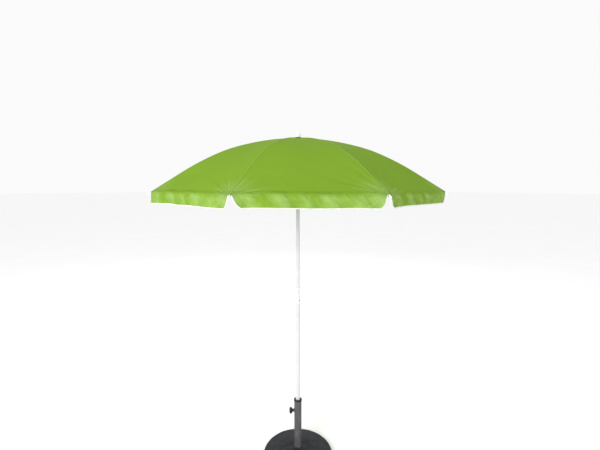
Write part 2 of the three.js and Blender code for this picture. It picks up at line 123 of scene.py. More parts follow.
# ---- settings ----
class ParasolSizes(bpy.types.PropertyGroup):
    """Sizes that a maker would change without touching the frame"""

    cloth: bpy.props.FloatProperty(
        name="Cloth thickness", description="Woven cloth of the canopy", default=0.0005, unit="LENGTH")
    sag: bpy.props.FloatProperty(
        name="Panel sag", description="How far a panel's middle draws in between its ribs",
        default=0.007, unit="LENGTH")
    valance: bpy.props.FloatProperty(
        name="Valance drop", description="From the canopy's fold to the valance's edge",
        default=0.06, unit="LENGTH")
    binding: bpy.props.FloatProperty(
        name="Binding width", description="White tape over the valance's edge",
        default=0.0042, unit="LENGTH")
    pucker: bpy.props.FloatProperty(
        name="Corner pucker", description="Height of the creases that run in from each corner",
        default=0.004, unit="LENGTH")
    gathered: bpy.props.FloatProperty(
        name="Gathered width", description="Share of a wedge's width left when the canopy is folded",
        default=0.28, subtype="FACTOR", min=0.05, max=1)


class ParasolColours(bpy.types.PropertyGroup):
    """Colours of the finishes"""

    cloth: bpy.props.FloatVectorProperty(
        name="Cloth", description="Dyed cloth", default=(0.158, 0.28, 0.022), subtype="COLOR", min=0, max=1)
    enamel: bpy.props.FloatVectorProperty(
        name="Enamel", description="White enamel of the poles",
        default=(0.6, 0.6, 0.62), subtype="COLOR", min=0, max=1)
    steel: bpy.props.FloatVectorProperty(
        name="Base tube", description="Powder coat of the base's tube",
        default=(0.078, 0.078, 0.085), subtype="COLOR", min=0, max=1)
    weight: bpy.props.FloatVectorProperty(
        name="Base weight", description="Stained concrete",
        default=(0.019, 0.019, 0.023), subtype="COLOR", min=0, max=1)


# ---- shader maths ----
class Signal:
    """A socket in a material; arithmetic on it adds Math nodes."""

    def __init__(self, bench, socket):
        self.bench = bench
        self.socket = socket

    def math(self, operation, *others):
        return self.bench.node("ShaderNodeMath", {"operation": operation}, list(others))

    def __add__(self, other):
        return self.math("ADD", self, other)

    __radd__ = __add__

    def __sub__(self, other):
        return self.math("SUBTRACT", self, other)

    def __rsub__(self, other):
        return self.math("SUBTRACT", other, self)

    def __mul__(self, other):
        return self.math("MULTIPLY", self, other)

    __rmul__ = __mul__

    def __pow__(self, other):
        return self.math("POWER", self, other)


class Bench:
    """One material and its Principled shader, with a method that adds any other node."""

    def __init__(self, name, **fixed):
        self.material = bpy.data.materials.new(name)
        self.material.use_nodes = True
        self.tree = self.material.node_tree
        self.shader = self.tree.nodes["Principled BSDF"]
        for socket, value in fixed.items():
            self.shader.inputs[socket.replace("_", " ")].default_value = value

    def node(self, kind, settings=None, values=None, output=0):
        made = self.tree.nodes.new(kind)
        for key, value in (settings or {}).items():
            setattr(made, key, value)
        pairs = values.items() if isinstance(values, dict) else enumerate(values or [])
        for key, value in pairs:
            if isinstance(value, Signal):
                self.tree.links.new(value.socket, made.inputs[key])
            else:
                made.inputs[key].default_value = value
        return Signal(self, made.outputs[output])

    def place(self, scale=(1, 1, 1), uv=None):
        """Object coordinates, or the piece's UV map, scaled."""
        if uv:
            source = self.node("ShaderNodeUVMap", {"uv_map": uv})
        else:
            source = self.node("ShaderNodeTexCoord", output="Object")
        return self.node("ShaderNodeMapping", None, {"Vector": source, "Scale": scale})

    def noise(self, place, scale, detail=3.0, roughness=0.5):
        values = {"Vector": place, "Scale": scale, "Detail": detail, "Roughness": roughness}
        return self.node("ShaderNodeTexNoise", {"noise_dimensions": "3D"}, values, "Fac")

    def level(self, signal, low, high, to_low=0.0, to_high=1.0):
        values = [signal, low, high, to_low, to_high]
        return self.node("ShaderNodeMapRange", {"clamp": True}, values, "Result")

    def mix(self, factor, first, second):
        """A colour between two colours; the node's colour sockets are inputs 6 and 7, and output 2."""
        first, second = ((*c, 1) if isinstance(c, tuple) else c for c in (first, second))
        return self.node("ShaderNodeMix", {"data_type": "RGBA"}, {0: factor, 6: first, 7: second}, 2)

    def feed(self, socket, signal):
        self.tree.links.new(signal.socket, self.shader.inputs[socket])

    def bump(self, height, distance, strength=1.0, under=None):
        values = {"Height": height, "Distance": distance, "Strength": strength}
        if under:
            values["Normal"] = under
        return self.node("ShaderNodeBump", None, values, "Normal")


def shade(colour, share):
    """A colour made lighter or darker."""
    return tuple(min(1.0, c * share) for c in colour)


# ---- finishes ----
FINISHES = {}


def finish(name):
    """A finish by name, made once."""
    if name not in FINISHES:
        FINISHES[name] = MAKERS[name]().material
    return FINISHES[name]


def woven_cloth():
    """Thin dyed polyester: a plain weave, faint slubs, creases, puckers at the corners, and paler painted light
    on the valance's folds and along the corner puckers.
    """
    colour = tuple(bpy.context.scene.parasol_colours.cloth)
    bench = Bench("green_polyester", Roughness=0.75, Specular_IOR_Level=0.02)
    thread = bench.place(uv="cloth")
    yarns = {"Vector": thread, "Scale": 260.0, "Distortion": 0.4}
    warp = bench.node("ShaderNodeTexWave", {"wave_type": "BANDS", "bands_direction": "X"}, yarns, "Fac")
    weft = bench.node("ShaderNodeTexWave", {"wave_type": "BANDS", "bands_direction": "Y"}, yarns, "Fac")
    body = bench.place()
    cloud = bench.noise(body, 3.2, 4.0, 0.55)
    slub = bench.noise(bench.place((90, 900, 90), "cloth"), 1.0, 2.0)
    dyed = bench.mix(bench.level(cloud, 0.3, 0.7), shade(colour, 0.94), shade(colour, 1.06))
    flecked = bench.mix(bench.level(slub, 0.45, 0.75, 0.0, 0.35), shade(colour, 1.0), shade(colour, 1.16))
    fan, hanging = corner_fan(bench, thread), valance_folds(bench, thread)
    # Painted light: the cloth is mixed toward a paler tint on the crests of the corner puckers and in the
    # valance's folds, as painted highlights and a painted glow of light through the valance.
    painted_light_tint = tuple(c * 1.15 + 0.07 for c in colour)
    painted_light_mask = bench.level(fan, 0.2, 0.55, 0.0, 0.75) + bench.level(hanging, 0.32, 0.66, 0.0, 0.8)
    bench.feed("Base Color", bench.mix(painted_light_mask, bench.mix(0.45, dyed, flecked), painted_light_tint))
    bench.feed("Roughness", bench.level(cloud, 0.3, 0.7, 0.68, 0.82))
    crease = bench.noise(bench.place((1, 1, 2.2)), 16.0, 5.0, 0.6)
    folds = bench.bump(crease, 0.006, 0.4)
    folds = bench.bump(fan, 0.008, 0.7, folds)
    folds = bench.bump(hanging, 0.02, 0.9, folds)
    bench.feed("Normal", bench.bump(warp * weft, 0.00012, 0.5, folds))
    return bench


def corner_fan(bench, thread):
    """Fine puckers that fan out from the corner where the cloth is pinned to its rib."""
    across = bench.node("ShaderNodeSeparateXYZ", None, {"Vector": thread}, "X")
    along = bench.node("ShaderNodeSeparateXYZ", None, {"Vector": thread}, "Y")
    inward = RIM_R * CLOTH_RUN - along
    distance = (across * across + inward * inward) ** 0.5
    bearing = across.math("ARCTAN2", across, inward)
    polar = bench.node("ShaderNodeCombineXYZ", None, {"X": bearing * 9.0, "Y": distance * 4.0, "Z": 0.5})
    streaks = bench.noise(polar, 1.6, 3.0, 0.55)
    fade = bench.level(distance, 0.02, 0.3, 1.0, 0.0)
    return streaks * fade * fade


def valance_folds(bench, thread):
    """Slanting creases that are sharper in the valance than in the panels above it."""
    along = bench.node("ShaderNodeSeparateXYZ", None, {"Vector": thread}, "Y")
    leaning = bench.node("ShaderNodeMapping", None, {"Vector": thread, "Rotation": (0, 0, 0.6)})
    drawn = bench.node("ShaderNodeMapping", None, {"Vector": leaning, "Scale": (22, 5, 1)})
    streaks = bench.noise(drawn, 1.0, 3.0, 0.5)
    return streaks * bench.level(along, RIM_R * CLOTH_RUN - 0.02, RIM_R * CLOTH_RUN + 0.015)


def binding_tape():
    """White grosgrain tape with fine ribs across it."""
    bench = Bench("white_tape", Roughness=0.7)
    ribs = bench.node(
        "ShaderNodeTexWave", {"wave_type": "BANDS", "bands_direction": "X"},
        {"Vector": bench.place(uv="cloth"), "Scale": 320.0}, "Fac")
    soil = bench.noise(bench.place(), 30.0, 4.0)
    bench.feed("Base Color", bench.mix(bench.level(soil, 0.4, 0.75), (0.66, 0.69, 0.6), (0.54, 0.58, 0.47)))
    bench.feed("Normal", bench.bump(ribs, 0.0002, 0.6))
    return bench


def seam_cloth():
    """The doubled cloth of a felled seam, with its two rows of stitches, painted paler than the cloth as a
    highlight on the raised seam.
    """
    colour = tuple(bpy.context.scene.parasol_colours.cloth)
    bench = Bench("green_seam", Roughness=0.6, Specular_IOR_Level=0.25)
    stitch = bench.node(
        "ShaderNodeTexWave", {"wave_type": "BANDS", "bands_direction": "Y"},
        {"Vector": bench.place(uv="cloth"), "Scale": 110.0, "Distortion": 0.3}, "Fac")
    mottling = bench.noise(bench.place(), 40.0)
    # Painted highlight: the whole seam is painted paler than the cloth, and paler still on the stitch rows, for
    # light caught by the raised seam and stitches.
    stitch_highlight = bench.level(stitch, 0.55, 0.8)
    bench.feed("Base Color", bench.mix(stitch_highlight, shade(colour, 1.04), shade(colour, 1.16)))
    bench.feed("Roughness", bench.level(mottling, 0.3, 0.7, 0.55, 0.7))
    bench.feed("Normal", bench.bump(stitch, 0.0003, 0.6))
    return bench


def enamel():
    """White enamel on steel tube: slight orange peel, rubbed patches and a little dust."""
    colour = tuple(bpy.context.scene.parasol_colours.enamel)
    bench = Bench("white_enamel", Roughness=0.3, Coat_Weight=0.25, Coat_Roughness=0.2)
    body = bench.place()
    rub = bench.noise(bench.place((30, 30, 4)), 2.0, 5.0, 0.6)
    peel = bench.noise(body, 900.0, 2.0)
    dust = bench.noise(body, 14.0, 5.0, 0.65)
    bench.feed("Base Color", bench.mix(bench.level(dust, 0.45, 0.8, 0.0, 0.6), colour, shade(colour, 0.86)))
    bench.feed("Roughness", bench.level(rub, 0.35, 0.7, 0.24, 0.44))
    bench.feed("Normal", bench.bump(peel, 0.00006, 0.4))
    return bench


def moulded(name, colour, grain=1500.0, gloss=0.42):
    """Injection-moulded plastic with a fine spark-eroded grain and paler rubbed patches."""
    bench = Bench(name, Roughness=gloss, Specular_IOR_Level=0.3)
    body = bench.place()
    rub = bench.noise(body, 60.0, 5.0, 0.6)
    fine = bench.noise(body, grain, 2.0)
    rubbed = tuple(min(1, c * 0.9 + 0.008) for c in colour)
    bench.feed("Base Color", bench.mix(bench.level(rub, 0.45, 0.8), colour, rubbed))
    bench.feed("Roughness", bench.level(rub, 0.3, 0.75, gloss - 0.07, gloss + 0.12))
    bench.feed("Normal", bench.bump(fine, 0.00008, 0.5))
    return bench


def powder_coat():
    """Dark grey powder coat: a fine pebbled skin, scuffed paler here and there."""
    colour = tuple(bpy.context.scene.parasol_colours.steel)
    bench = Bench("grey_powder_coat", Roughness=0.42, Specular_IOR_Level=0.2)
    body = bench.place()
    pebble = bench.noise(body, 700.0, 2.0)
    scuff = bench.noise(bench.place((1, 1, 0.25)), 55.0, 6.0, 0.65)
    bench.feed("Base Color", bench.mix(bench.level(scuff, 0.52, 0.75), colour, shade(colour, 1.7)))
    bench.feed("Roughness", bench.level(scuff, 0.3, 0.75, 0.36, 0.55))
    bench.feed("Normal", bench.bump(pebble, 0.00015, 0.55))
    return bench


def stained_concrete():
    """Dark stained cast concrete: mottled, with pale flecks, faint trowel streaks and pinholes."""
    colour = tuple(bpy.context.scene.parasol_colours.weight)
    bench = Bench("dark_concrete", Roughness=0.72, Specular_IOR_Level=0.2)
    body = bench.place()
    mottle = bench.noise(body, 22.0, 6.0, 0.62)
    broad = bench.noise(body, 6.5, 3.0)
    fleck = bench.noise(body, 420.0, 2.0)
    pits = bench.node("ShaderNodeTexVoronoi", {"feature": "F1"}, {"Vector": body, "Scale": 260.0}, "Distance")
    base = bench.mix(bench.level(mottle, 0.38, 0.66), shade(colour, 0.5), shade(colour, 1.9))
    base = bench.mix(bench.level(broad, 0.4, 0.7, 0.0, 0.4), base, shade(colour, 1.9))
    base = bench.mix(bench.level(fleck, 0.66, 0.74, 0.0, 0.55), base, (0.16, 0.16, 0.16))
    bench.feed("Base Color", base)
    bench.feed("Roughness", bench.level(mottle, 0.3, 0.7, 0.6, 0.85))
    hollow = bench.level(pits, 0.0, 0.12)
    rough = bench.bump(mottle * 0.8 + fleck * 0.2, 0.0025, 0.6)
    bench.feed("Normal", bench.bump(hollow, 0.0004, 0.4, rough))
    return bench


def bare_steel():
    """Zinc-plated steel with fine turned lines and duller patches."""
    bench = Bench("plated_steel", Metallic=1.0, Roughness=0.34)
    body = bench.place()
    lines = bench.noise(bench.place((40, 40, 900)), 1.0, 3.0)
    dull = bench.noise(body, 90.0, 4.0)
    duller = bench.level(dull, 0.35, 0.7)
    bench.feed("Base Color", bench.mix(duller, (0.62, 0.62, 0.62), (0.42, 0.42, 0.43)))
    bench.feed("Roughness", bench.level(dull, 0.3, 0.7, 0.26, 0.48))
    bench.feed("Normal", bench.bump(lines, 0.00005, 0.4))
    return bench


def rubber():
    """Soft black rubber, dusty on its edges."""
    bench = Bench("black_rubber", Roughness=0.85)
    dust = bench.noise(bench.place(), 80.0, 5.0, 0.6)
    dusted = bench.level(dust, 0.45, 0.75)
    bench.feed("Base Color", bench.mix(dusted, (0.016, 0.016, 0.016), (0.05, 0.048, 0.045)))
    bench.feed("Roughness", bench.level(dust, 0.3, 0.7, 0.75, 0.92))
    bench.feed("Normal", bench.bump(dust, 0.0003, 0.4))
    return bench


def pale_floor():
    """The studio's pale floor."""
    bench = Bench("studio_floor", Roughness=0.9)
    cloud = bench.noise(bench.place(), 1.5, 2.0)
    broad = bench.level(cloud, 0.3, 0.7)
    bench.feed("Base Color", bench.mix(broad, (0.955, 0.955, 0.955), (0.975, 0.975, 0.975)))
    return bench


MAKERS = {
    "cloth": woven_cloth,
    "tape": binding_tape,
    "seam": seam_cloth,
    "enamel": enamel,
    "white": lambda: moulded("white_nylon", (0.76, 0.77, 0.72)),
    "black": lambda: moulded("black_nylon", (0.007, 0.007, 0.008), gloss=0.36),
    "coat": powder_coat,
    "concrete": stained_concrete,
    "steel": bare_steel,
    "rubber": rubber,
    "floor": pale_floor,
}

SLOT_FINISH = {
    "green_cloth": "cloth", "white_pole": "enamel", "white_wire": "enamel", "white_plastic": "white",
    "dark_steel": "coat", "plain_steel": "steel", "black_plastic": "black", "dark_concrete": "concrete",
    "foot_rubber": "rubber",
}
NODE_SLOT = {row["node"]: row["material_slot"] for row in frame["record"]["subparts"]}
BEHAVIOUR = frame["record"]["behaviour"]
NODE_BODY = {node: body for body, nodes in BEHAVIOUR["bodies"].items() for node in nodes}
JOINTS = {joint["name"]: joint for joint in BEHAVIOUR["joints"]}


# ---- making pieces ----
def piece(name, bm, finish_name, body, replaces=(), crisp=True):
    """Turns a bmesh into a finished piece that rides on a body."""
    bmesh.ops.recalc_face_normals(bm, faces=bm.faces)
    for face in bm.faces:
        face.smooth = True
    mesh = bpy.data.meshes.new(name)
    bm.to_mesh(mesh)
    bm.free()
    if crisp:
        mesh.set_sharp_from_angle(angle=math.radians(50))
    made = bpy.data.objects.new(name, mesh)
    bpy.context.scene.collection.objects.link(made)
    mesh.materials.append(finish(finish_name))
    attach(made, body)
    if replaces:
        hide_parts(*replaces)
    return made


def soften(bm, width):
    """Rounds the sharp edges of a hard piece."""
    least = math.radians(28)
    edges = [e for e in bm.edges if len(e.link_faces) == 2 and e.calc_face_angle(0) > least]
    if edges:
        bmesh.ops.bevel(
            bm, geom=edges, offset=width, affect="EDGES", segments=2, profile=0.5, material=-1,
            clamp_overlap=True)


def spun(profile, steps=64, round_off=0.0):
    """A profile of (radius, height) pairs turned about Z; it closes by itself or ends on the axis."""
    bm = bmesh.new()
    verts = [bm.verts.new((r, 0, z)) for r, z in profile]
    loop = zip(verts, verts[1:] + verts[:1])
    edges = [bm.edges.new(pair) for pair in loop if pair[0].co.x or pair[1].co.x]
    bmesh.ops.spin(
        bm, geom=verts + edges, cent=(0, 0, 0), axis=(0, 0, 1), angle=2 * math.pi, steps=steps,
        use_merge=True, use_duplicate=False)
    bmesh.ops.remove_doubles(bm, verts=bm.verts, dist=WELD)
    bmesh.ops.recalc_face_normals(bm, faces=bm.faces)
    if round_off:
        soften(bm, round_off)
    return bm


def tube(inner, outer, low, high, steps=64, round_off=0.0003):
    """A plain pipe about Z."""
    return spun([(inner, low), (outer, low), (outer, high), (inner, high)], steps, round_off)


def place_bm(bm, matrix):
    """Moves a whole bmesh."""
    bmesh.ops.transform(bm, matrix=matrix, verts=bm.verts)
    return bm


def join_bm(target, *others):
    """Adds other bmeshes to one, as separate shells of one piece."""
    for other in others:
        mesh = bpy.data.meshes.new("part")
        other.to_mesh(mesh)
        other.free()
        target.from_mesh(mesh)
        bpy.data.meshes.remove(mesh)
    return target


def softened_copy(node, width):
    """A CAD node's shape with its edges rounded, in place of the plain one."""
    bm = bmesh.new()
    bm.from_mesh(bpy.data.objects[node].data)
    bmesh.ops.remove_doubles(bm, verts=bm.verts, dist=5e-6)
    bmesh.ops.dissolve_limit(
        bm, angle_limit=math.radians(1.5), use_dissolve_boundaries=False, verts=bm.verts, edges=bm.edges)
    soften(bm, width)
    slot = NODE_SLOT[node]
    return piece(f"{node}_made", bm, SLOT_FINISH[slot], NODE_BODY[node], [node])


def toward(direction, origin):
    """The matrix that stands a shape made along +Z at an origin, along a direction."""
    return Matrix.Translation(origin) @ Vector(direction).to_track_quat("Z", "Y").to_matrix().to_4x4()


def drilled(bm, radius, start, direction, length):
    """Cuts a round hole along a direction."""
    cutter = spun([(0, 0), (radius, 0), (radius, length), (0, length)], 32)
    place_bm(cutter, toward(direction, start))
    pair = []
    for shape in (bm, cutter):
        mesh = bpy.data.meshes.new("blank")
        shape.to_mesh(mesh)
        shape.free()
        made = bpy.data.objects.new("blank", mesh)
        bpy.context.scene.collection.objects.link(made)
        pair.append(made)
    cut = pair[0].modifiers.new("hole", "BOOLEAN")
    cut.operation = "DIFFERENCE"
    cut.solver = "EXACT"
    cut.object = pair[1]
    bpy.context.view_layer.update()
    result = bmesh.new()
    result.from_object(pair[0], bpy.context.evaluated_depsgraph_get())
    for made in pair:
        mesh = made.data
        bpy.data.objects.remove(made)
        bpy.data.meshes.remove(mesh)
    return result


def button_way(node):
    """The direction out of the pole through a push button."""
    centre = middle(node)
    return Vector((centre.x, centre.y, 0)).normalized()


def rivet_head(radius, rise):
    """A domed rivet head on the plane z=0."""
    dome = ((1, 0), (0.96, 0.35), (0.72, 0.8), (0.36, 1), (0, 1))
    return spun([(0, 0)] + [(radius * r, rise * z) for r, z in dome], 24)


# ---- canopy cloth ----
def panel_point(radius, across):
    """A point of the flat panels beside a rib that lies along +X; across is -1 to 1, middle to middle."""
    x = radius * (1 - abs(across) * math.sin(HALF) ** 2)
    return Vector((x, across * radius * math.sin(HALF) * math.cos(HALF), height_over_rib(radius)))


def bow(across):
    """0 at the rib, 1 in the middle of the panel, level there."""
    return 1 - (1 - abs(across)) ** 2


def ridged(place):
    """Noise with narrow crests, like creases pressed into cloth."""
    return 1 - 2.4 * abs(noise.noise(place))


def drawn_in(radius, across, turn, sizes):
    """A point of the canopy with its sag, corner creases and slight unevenness, in the rib's own frame."""
    point = panel_point(radius, across)
    along = radius / RIM_R
    point.z -= sizes.sag * bow(across) * math.sin(math.pi * min(1, along)) ** 0.8
    point.z += 0.003 * bow(across) * max(0, along - 0.6) / 0.4
    world = turn @ point
    point.z += sizes.pucker * corner_creases(point) * min(1, abs(across) * 14)
    wander = noise.noise(world * 4.5) * 0.004 + noise.noise(world * 13) * 0.0013
    point.z += wander * bow(across) * min(1, along * 3)
    return point


def corner_creases(point):
    """Creases that fan out from the corner at the rib's end, each with its own length."""
    to_corner = math.hypot(RIM_R - point.x, point.y)
    bearing = math.atan2(point.y, RIM_R - point.x + 1e-6)
    fan = noise.noise(Vector((bearing * 7.5, to_corner * 2.2, math.copysign(3, point.y))))
    fade = math.exp(-((to_corner / 0.19) ** 2)) * (1 - math.exp(-to_corner / 0.03))
    return fan * 2 * fade


def valance_point(distance, drop, side, turn, sizes):
    """A point of the valance: distance from the corner along the panel's edge, and drop below the fold."""
    across = side * distance / EDGE
    point = drawn_in(RIM_R, across, turn, sizes)
    outward = Vector((math.cos(HALF), side * math.sin(HALF), 0))
    depth = drop / sizes.valance
    world = turn @ point
    world.z = 0
    sway = noise.noise(world * 7.0) * 0.011
    crease = ridged(world * 10 + Vector((0, 0, drop * 20))) * 0.0085
    crease += ridged(world * 27 + Vector((5, 0, drop * 32))) * 0.0026
    flare = 0.004 * math.exp(-distance / 0.05)
    folds = crease * min(1, 2.4 * depth) * min(1, distance / 0.03)
    point += outward * (depth * (sway + flare + 0.001) + folds)
    point.z -= drop * (1 + 0.03 * noise.noise(world * 4.0))
    return point


END_SLANT = {(1, 1): 0.026, (1, -1): 0.011, (2, -1): 0.017, (2, 1): 0.01}


def notch(depth, index, side):
    """How far a valance's end stands from its corner at a depth; each hangs a little differently."""
    slant = END_SLANT.get((index, side), 0.024 + 0.006 * math.sin(index * 2.1 + side))
    return 0.004 + slant * depth + 0.015 * depth**5


COLUMNS = 44  # on each side of a rib
ROOF_ROWS = 100
BANDS = (  # rows of cloth, and the share of its width that each keeps when folded
    (0, 8, 0.95), (8, 15, 0.72), (15, 23, 0.57), (23, 34, 0.47), (34, 50, 0.38), (50, ROOF_ROWS, None))
FLAP_ROWS = 14
CORNER = 0.004 / EDGE


def roof_cloth(turn, sizes, first, last):
    """One rib's cloth between two of its rows, counted from the pole down to the fold at the rim."""
    bm, uv = cloth_grid(2 * COLUMNS, last - first)
    flat = {}
    low_r = RIB_LINE[0][0]
    for vert in bm.verts:
        column, row = grid_place(vert, last - first)
        across = 0
        if column:
            across = math.copysign(CORNER + (1 - CORNER) * (abs(column) - 1) / (COLUMNS - 1), column)
        radius = low_r + (RIM_R - low_r) * ((first + row) / ROOF_ROWS) ** 0.9
        vert.co = drawn_in(radius, across, turn, sizes)
        flat[vert] = (vert.co.y, radius * CLOTH_RUN)
    return crisp_borders(laid_out(bm, uv, flat, turn))


def valance_cloth(index, turn, sizes):
    """The valance on each side of a rib, hanging from the same edge as the roof's last row."""
    bm, uv = cloth_grid(2 * COLUMNS, FLAP_ROWS)
    flat = {}
    doomed = []
    for vert in bm.verts:
        column, row = grid_place(vert, FLAP_ROWS)
        side = 1 if column > 0 else -1
        depth = row / FLAP_ROWS
        start = notch(depth, index, side)
        distance = start + (EDGE - start) * (abs(column) - 1) / (COLUMNS - 1)
        if column == 0:
            doomed.append(vert)
            distance = 0
        vert.co = valance_point(distance, depth * sizes.valance, side, turn, sizes)
        flat[vert] = (side * distance, RIM_R * CLOTH_RUN + depth * sizes.valance)
    bmesh.ops.delete(bm, geom=doomed, context="VERTS")
    return crisp_borders(laid_out(bm, uv, flat, turn))


def cloth_grid(columns, rows):
    """A grid of faces one unit across, with its UV layer."""
    bm = bmesh.new()
    uv = bm.loops.layers.uv.new("cloth")
    bmesh.ops.create_grid(bm, x_segments=columns, y_segments=rows, size=0.5, calc_uvs=False)
    return bm, uv


def grid_step(along, count):
    """Which line of a grid a vertex is on, out of a count."""
    return round((along + 0.5) * count)


def grid_place(vert, rows):
    """A grid vertex's column, counted from the rib, and row, counted from the top."""
    return grid_step(vert.co.x, 2 * COLUMNS) - COLUMNS, grid_step(vert.co.y, rows)


def laid_out(bm, uv, flat, turn):
    """A grid with its UVs, in its place round the pole."""
    for face in bm.faces:
        for loop in face.loops:
            loop[uv].uv = flat[loop.vert]
    return place_bm(bm, turn)


def crisp_borders(bm):
    """Marks open edges sharp, so that the thickness added later keeps clean edges."""
    for edge in bm.edges:
        edge.smooth = not edge.is_boundary
    return bm


def binding_edge(index, side, sizes):
    """Points along the valance's cut edge, as (distance, drop): down its end, then along its foot."""
    drop = sizes.valance
    end = [(notch(i / 12, index, side), drop * i / 12) for i in range(1, 12)]
    foot_start = notch(1.0, index, side)
    foot = [(foot_start + (EDGE - foot_start) * (i / 40), drop) for i in range(41)]
    return end + foot


# across the tape: how far in from the cut edge, in tape widths, and which side of the cloth
TAPE_WRAP = ((1, 1), (0.55, 1), (0.08, 1), (-0.12, 0), (0.08, -1), (0.55, -1), (1, -1))


def binding_tape_piece(index, side, turn, sizes):
    """The tape over one half valance's cut edge, folded round it."""
    edge = binding_edge(index, side, sizes)
    count = len(edge) - 1
    bm, uv = cloth_grid(count, len(TAPE_WRAP) - 1)
    outward = Vector((math.cos(HALF), side * math.sin(HALF), 0))
    length = [0.0]
    for (d0, w0), (d1, w1) in zip(edge, edge[1:]):
        length.append(length[-1] + math.hypot(d1 - d0, w1 - w0))
    flat = {}
    for vert in bm.verts:
        i, j = grid_step(vert.co.x, count), grid_step(vert.co.y, len(TAPE_WRAP) - 1)
        before, after = edge[max(0, i - 1)], edge[min(count, i + 1)]
        run = Vector((after[0] - before[0], after[1] - before[1])).normalized()
        into = Vector((run.y, -run.x))
        if i == count:
            into = Vector((0, -1))
        reach, lift = TAPE_WRAP[j]
        distance = edge[i][0] + into.x * reach * sizes.binding
        drop = edge[i][1] + into.y * reach * sizes.binding
        point = valance_point(min(distance, EDGE), drop, side, turn, sizes)
        vert.co = point + outward * (lift * 0.0009 - sizes.cloth / 2)
        flat[vert] = (length[i], reach * sizes.binding)
    return laid_out(bm, uv, flat, turn)


def rib_seam(turn, sizes):
    """The felled seam over a rib: a narrow doubled strip with a rounded back."""
    rows, across, width = 70, 6, 0.0065
    start, end = 0.04, RIM_R - 0.001
    bm, uv = cloth_grid(across, rows)
    flat = {}
    for vert in bm.verts:
        sideways = 2 * grid_step(vert.co.x, across) / across - 1
        radius = start + (end - start) * grid_step(vert.co.y, rows) / rows
        y = sideways * width / 2
        point = drawn_in(radius, y / (radius * math.sin(HALF) * math.cos(HALF)), turn, sizes)
        point.z += 0.0006 + 0.0005 * (1 - sideways**2)
        vert.co = point
        flat[vert] = (y, radius * CLOTH_RUN)
    return laid_out(bm, uv, flat, turn)


def solid_cloth(made, thickness, offset):
    """Gives a sheet its thickness."""
    shell = made.modifiers.new("thickness", "SOLIDIFY")
    shell.thickness = thickness
    shell.offset = offset
    shell.use_rim = True


class PARASOL_OT_canopy(bpy.types.Operator):
    """Make the canopy's cloth, its seams and its binding"""

    bl_idname = "parasol.canopy"
    bl_label = "Canopy"

    def execute(self, context):
        sizes = context.scene.parasol_sizes
        for i in range(1, RIBS + 1):
            turn = Matrix.Rotation(rib_angle(i), 4, "Z")
            body, fold = f"rib_{i}", "canopy_fold" if i == 1 else f"rib_{i}_fold"
            bands = []
            for number, (first, last, keep) in enumerate(BANDS):
                bm = roof_cloth(turn, sizes, first, last)
                if last == ROOF_ROWS:
                    join_bm(bm, valance_cloth(i, turn, sizes))
                    bmesh.ops.remove_doubles(bm, verts=bm.verts, dist=WELD)
                    crisp_borders(bm)
                nodes = [f"canopy_wedge_{i}"] if last == ROOF_ROWS else []
                name = f"canopy_cloth_{i}_{number + 1}"
                band = piece(name, bm, "cloth", body, nodes, crisp=False)
                bands.append((band, keep or sizes.gathered))
            for band, _ in bands:
                solid_cloth(band, sizes.cloth, -1)
            left = binding_tape_piece(i, -1, turn, sizes)
            tape = join_bm(binding_tape_piece(i, 1, turn, sizes), left)
            tape = piece(f"valance_binding_{i}", tape, "tape", body, crisp=False)
            solid_cloth(tape, 0.0005, 0)
            seam = piece(f"rib_seam_{i}", rib_seam(turn, sizes), "seam", body, crisp=False)
            solid_cloth(seam, 0.0006, -1)
            2 * EDGE
            for soft, keep in (*bands, (tape, sizes.gathered)):
                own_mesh(soft)
        self.apex_patch()
        return {"FINISHED"}

    def apex_patch(self):
        """The round doubler under the finial, with a turned-in edge."""
        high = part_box("canopy_patch")[1]
        bore, first_r = 0.0088, RIB_LINE[0][0]
        rise = high.z - height_over_rib(first_r) - 0.0004
        radii = [bore + (high.x - bore) * i / 12 for i in range(13)]
        top = [(r, height_over_rib(max(r, first_r)) + rise) for r in radii]
        edge = [(high.x + 0.0004, top[-1][1] - 0.0006)]
        under = [(r, z - 0.0011) for r, z in reversed(top)]
        disc = spun(top + edge + under, 64)
        made = piece("apex_doubler", disc, "seam", "upper_pole", ["canopy_patch"])
        made.data.uv_layers.new(name="cloth")


class PARASOL_OT_ribs(bpy.types.Operator):
    """Make the rib wires, their struts, caps, rivets and ties"""

    bl_idname = "parasol.ribs"
    bl_label = "Ribs and struts"

    def execute(self, context):
        for i in range(1, RIBS + 1):
            for node in (f"rib_{i}", f"strut_{i}", f"rib_cap_{i}"):
                softened_copy(node, 0.0003)
            self.ties(i)
            self.rivets(i)
        return {"FINISHED"}

    def ties(self, index):
        """Loops of tape that hold the cloth down to the wire."""
        turn = Matrix.Rotation(rib_angle(index), 4, "Z")
        made = bmesh.new()
        for radius in (0.2, 0.34, 0.53, 0.66, 0.77):
            slope = (height_over_rib(radius + 0.01) - height_over_rib(radius - 0.01)) / 0.02
            along = Vector((1, 0, slope)).normalized()
            down = Vector((slope, 0, -1)).normalized()
            centre = Vector((radius, 0, height_over_rib(radius))) + down * 0.0034
            loop = tube(0.00215, 0.0031, -0.004, 0.004, 20, 0)
            join_bm(made, place_bm(loop, turn @ toward(along, centre)))
        ties = piece(f"rib_ties_{index}", made, "seam", f"rib_{index}")
        ties.data.uv_layers.new(name="cloth")

    def rivets(self, index):
        """The pin through each strut's fork, with a domed head on both sides."""
        joint = JOINTS[f"strut_{index}_turn"]
        axis, centre = Vector(joint["axis"]), Vector(joint["pos_m"])
        made = bmesh.new()
        for side in (-1, 1):
            outward = axis * side
            join_bm(made, place_bm(rivet_head(0.0022, 0.0009), toward(outward, centre + outward * 0.00252)))
        piece(f"strut_rivet_{index}", made, "steel", f"strut_{index}")


